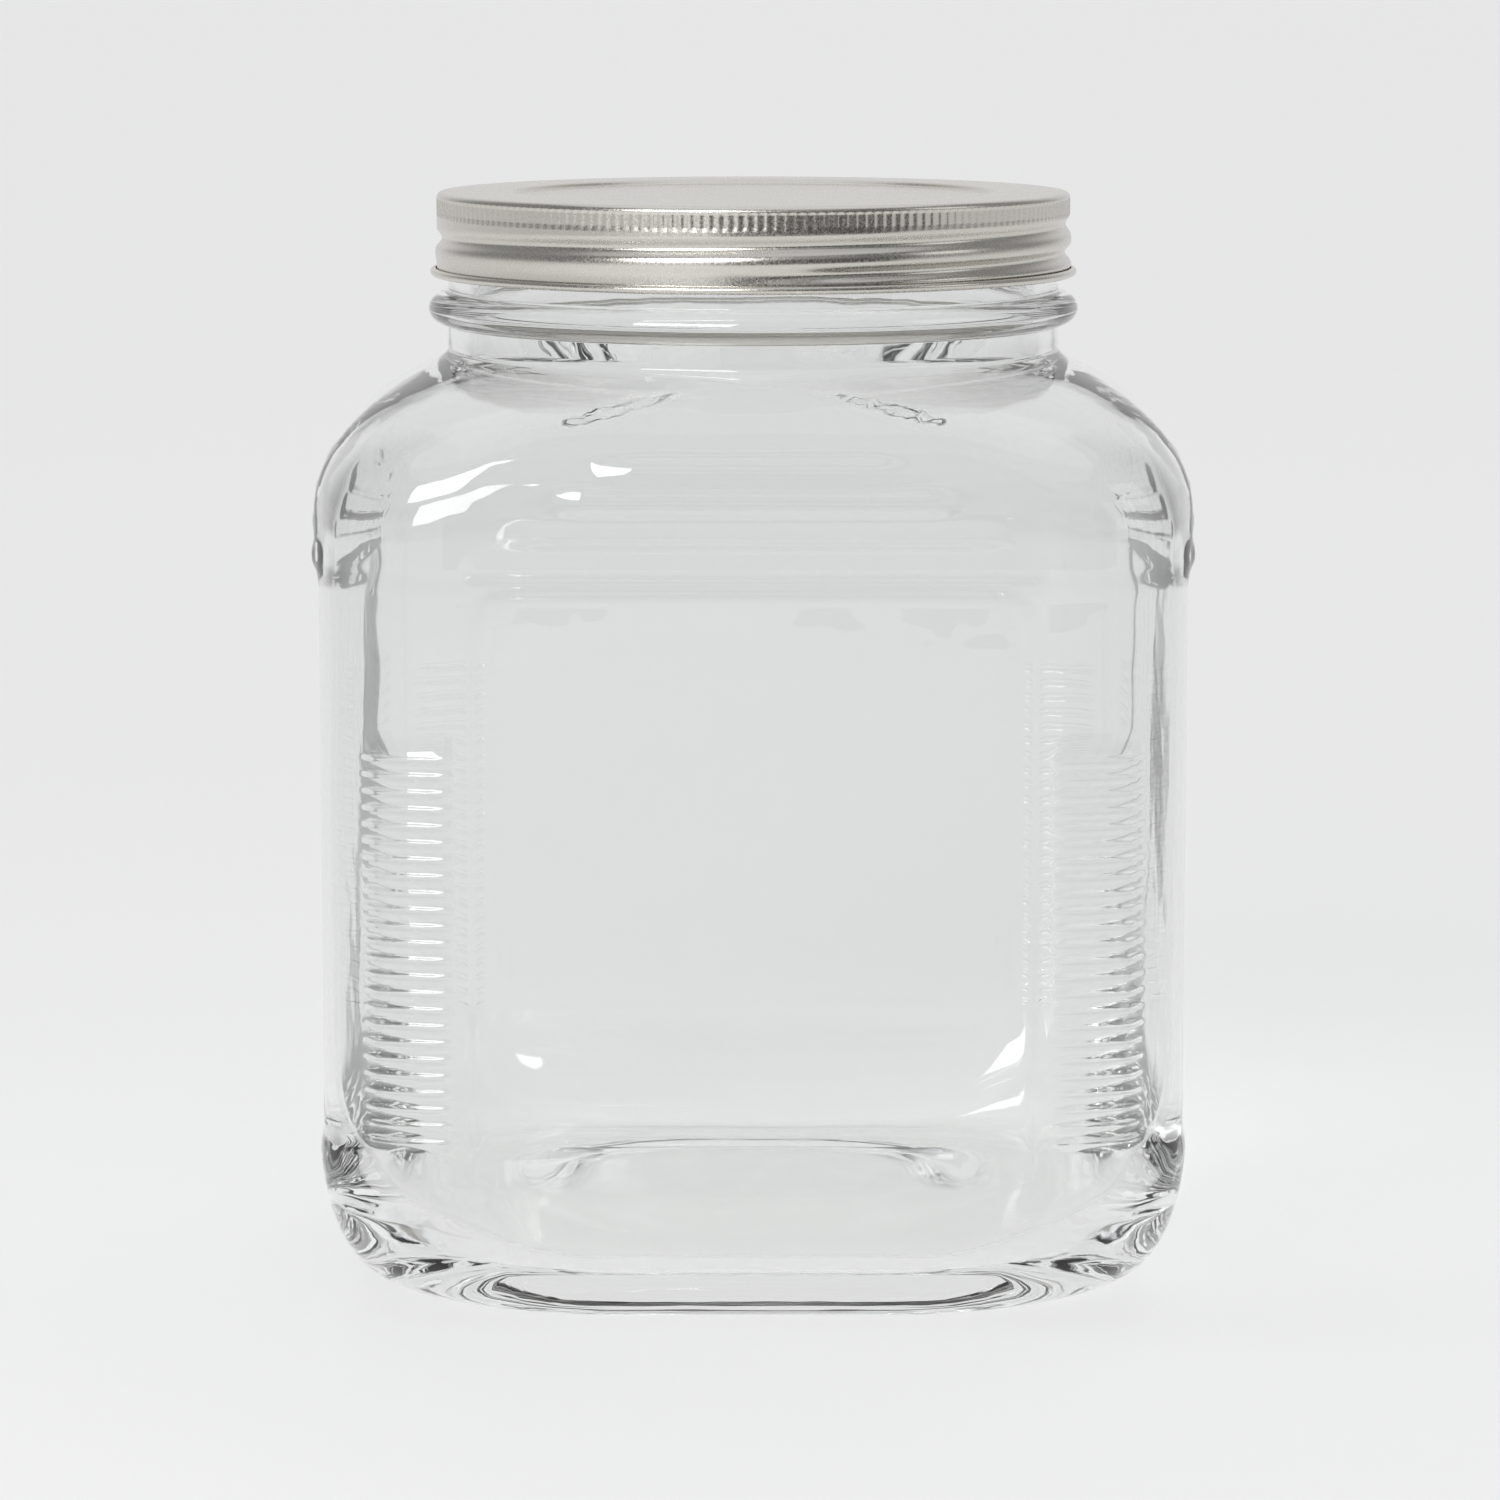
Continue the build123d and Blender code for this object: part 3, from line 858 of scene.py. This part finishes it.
def make_bowl():
    """Floor and wall in one: a flat disc that bends up by a quarter circle into a round wall."""
    flat = np.linspace(0.02, BOWL_FLAT, 12)
    bend = np.linspace(0, pi / 2, 17)[1:]
    wall = np.linspace(BOWL_BEND, BOWL_WALL, 8)[1:]
    outer = np.full(len(wall), BOWL_FLAT + BOWL_BEND)
    radius = np.concatenate([flat, BOWL_FLAT + BOWL_BEND * np.sin(bend), outer])[:, None]
    height = np.concatenate([np.zeros(len(flat)), BOWL_BEND * (1 - np.cos(bend)), wall])[:, None]
    turn = np.linspace(0, 2 * pi, BOWL_COLUMNS + 1)[:-1]
    x, y = radius * np.cos(turn), radius * np.sin(turn)
    points = np.stack([x, y, np.broadcast_to(height - FLOOR_GAP, x.shape)], axis=-1)
    here = np.arange(BOWL_COLUMNS)
    after = np.roll(here, -1)
    first = (np.arange(len(radius) - 1) * BOWL_COLUMNS)[:, None]
    second = first + BOWL_COLUMNS
    quads = np.stack([first + here, second + here, second + after, first + after], axis=-1)
    faces = quads.reshape(-1, 4).tolist() + [here.tolist()]
    mesh = bpy.data.meshes.new("bowl")
    mesh.from_pydata(points.reshape(-1, 3).tolist(), [], faces)
    mesh.polygons.foreach_set("use_smooth", np.ones(len(mesh.polygons), dtype=bool))
    bowl = bpy.data.objects.new("bowl", mesh)
    bpy.context.scene.collection.objects.link(bowl)
    return bowl


def softbox(name, place_at, target, width, height, power):
    """A rectangular area light aimed at a point, unseen by the camera itself."""
    data = bpy.data.lights.new(name, "AREA")
    data.shape = "RECTANGLE"
    data.size = width
    data.size_y = height
    data.energy = power
    lamp = bpy.data.objects.new(name, data)
    lamp.location = place_at
    aim = Vector(target) - Vector(place_at)
    lamp.rotation_euler = aim.to_track_quat("-Z", "Y").to_euler()
    lamp.visible_camera = False
    bpy.context.scene.collection.objects.link(lamp)


def dark_card():
    """A dark upright card by the camera that only mirror-like surfaces show."""
    along = Vector((cos(CARD_TURN), sin(CARD_TURN), 0)) * CARD_HALF
    out = Vector((sin(CARD_TURN), -cos(CARD_TURN), 0))
    corners = ((-1, CARD_LOW), (1, CARD_LOW), (1, CARD_HIGH), (-1, CARD_HIGH))
    points = [(*(out + side * along).xy, z) for side, z in corners]
    mesh = bpy.data.meshes.new("dark_card")
    mesh.from_pydata(points, [], [(3, 2, 1, 0)])
    material, _, shader, _ = new_material("dark_card")
    shader.inputs["Base Color"].default_value = CARD_COLOUR
    mesh.materials.append(material)
    card = bpy.data.objects.new("dark_card", mesh)
    card.visible_camera = card.visible_diffuse = card.visible_shadow = False
    card.visible_transmission = card.visible_volume_scatter = False
    bpy.context.scene.collection.objects.link(card)
    return card


def make_camera():
    """The camera in front of the jar, a little above its lid and looking slightly down."""
    data = bpy.data.cameras.new("camera")
    data.lens = CAMERA_LENS
    data.sensor_width = SENSOR
    data.shift_x = CAMERA_SHIFT
    data.clip_end = 20.0
    camera = bpy.data.objects.new("camera", data)
    camera.location = (0.0, -CAMERA_DISTANCE, CAMERA_HEIGHT)
    camera.rotation_euler = (pi / 2 - CAMERA_PITCH, 0.0, 0.0)
    bpy.context.scene.collection.objects.link(camera)
    bpy.context.scene.camera = camera


# ---- operators --------------------------------------------------------------------------


class JAR_OT_add_glass(bpy.types.Operator):
    """Adds the glass jar and lets it stand for its CAD piece."""

    bl_idname = "jar.add_glass"
    bl_label = "Add glass jar"

    def execute(self, context):
        scene = context.scene
        material = glass_material(tuple(scene.jar_colours.glass), groups_ready())
        stand_for(make_glass(scene.jar_sizes), material, "jar", "glass_jar")
        return {"FINISHED"}


class JAR_OT_add_lid(bpy.types.Operator):
    """Adds the steel lid and lets it stand for its CAD piece."""

    bl_idname = "jar.add_lid"
    bl_label = "Add steel lid"

    def execute(self, context):
        scene = context.scene
        material = steel_material(tuple(scene.jar_colours.steel), groups_ready())
        stand_for(make_lid(scene.lid_sizes), material, "lid", "lid_shell")
        return {"FINISHED"}


class JAR_OT_add_gasket(bpy.types.Operator):
    """Adds the sealing ring and lets it stand for its CAD piece."""

    bl_idname = "jar.add_gasket"
    bl_label = "Add sealing ring"

    def execute(self, context):
        scene = context.scene
        material = seal_material(tuple(scene.jar_colours.seal), groups_ready())
        ring = make_gasket(scene.lid_sizes, scene.jar_sizes)
        stand_for(ring, material, "gasket", "lid_gasket")
        return {"FINISHED"}


class JAR_OT_add_stage(bpy.types.Operator):
    """Adds the pale bowl, the studio lights and the camera."""

    bl_idname = "jar.add_stage"
    bl_label = "Add studio"

    def execute(self, context):
        bowl = make_bowl()
        bowl.data.materials.append(stage_material(tuple(context.scene.jar_colours.floor), GLOW))
        dark_card()
        world = bpy.data.worlds.new("studio")
        world.use_nodes = True
        background = world.node_tree.nodes["Background"]
        background.inputs["Color"].default_value = WORLD_COLOUR
        background.inputs["Strength"].default_value = 1.0
        context.scene.world = world
        for lamp in SOFTBOXES:
            softbox(*lamp)
        make_camera()
        context.scene.view_settings.view_transform = "Standard"
        cycles = context.scene.cycles
        cycles.max_bounces = PATH_BOUNCES
        cycles.transmission_bounces = PATH_BOUNCES
        cycles.glossy_bounces = PATH_BOUNCES
        return {"FINISHED"}


class JAR_PT_panel(bpy.types.Panel):
    """Sizes, colours and operators of the jar."""

    bl_idname = "JAR_PT_panel"
    bl_label = "Glass Jar"
    bl_space_type = "VIEW_3D"
    bl_region_type = "UI"
    bl_category = "Jar"

    def draw(self, context):
        scene = context.scene
        for name, kind in GROUPS.items():
            box = self.layout.box()
            box.label(text=kind.__doc__)
            for size in kind.__annotations__:
                box.prop(getattr(scene, name), size)
        for operator in OPERATORS:
            self.layout.operator(operator.bl_idname)


GROUPS = {"jar_sizes": JarSizes, "lid_sizes": LidSizes, "jar_colours": JarColours}
OPERATORS = (JAR_OT_add_glass, JAR_OT_add_lid, JAR_OT_add_gasket, JAR_OT_add_stage)


def register():
    """Registers the classes and hangs the property groups on the scene."""
    for name, group in GROUPS.items():
        bpy.utils.register_class(group)
        setattr(bpy.types.Scene, name, bpy.props.PointerProperty(type=group))
    for kind in (*OPERATORS, JAR_PT_panel):
        bpy.utils.register_class(kind)


def unregister():
    """Takes back what register did."""
    for kind in (JAR_PT_panel, *reversed(OPERATORS)):
        bpy.utils.unregister_class(kind)
    for name, group in reversed(GROUPS.items()):
        delattr(bpy.types.Scene, name)
        bpy.utils.unregister_class(group)


def main():
    """Builds everything."""
    register()
    bpy.ops.jar.add_glass()
    bpy.ops.jar.add_lid()
    bpy.ops.jar.add_gasket()
    bpy.ops.jar.add_stage()


if __name__ == "__main__":
    main()
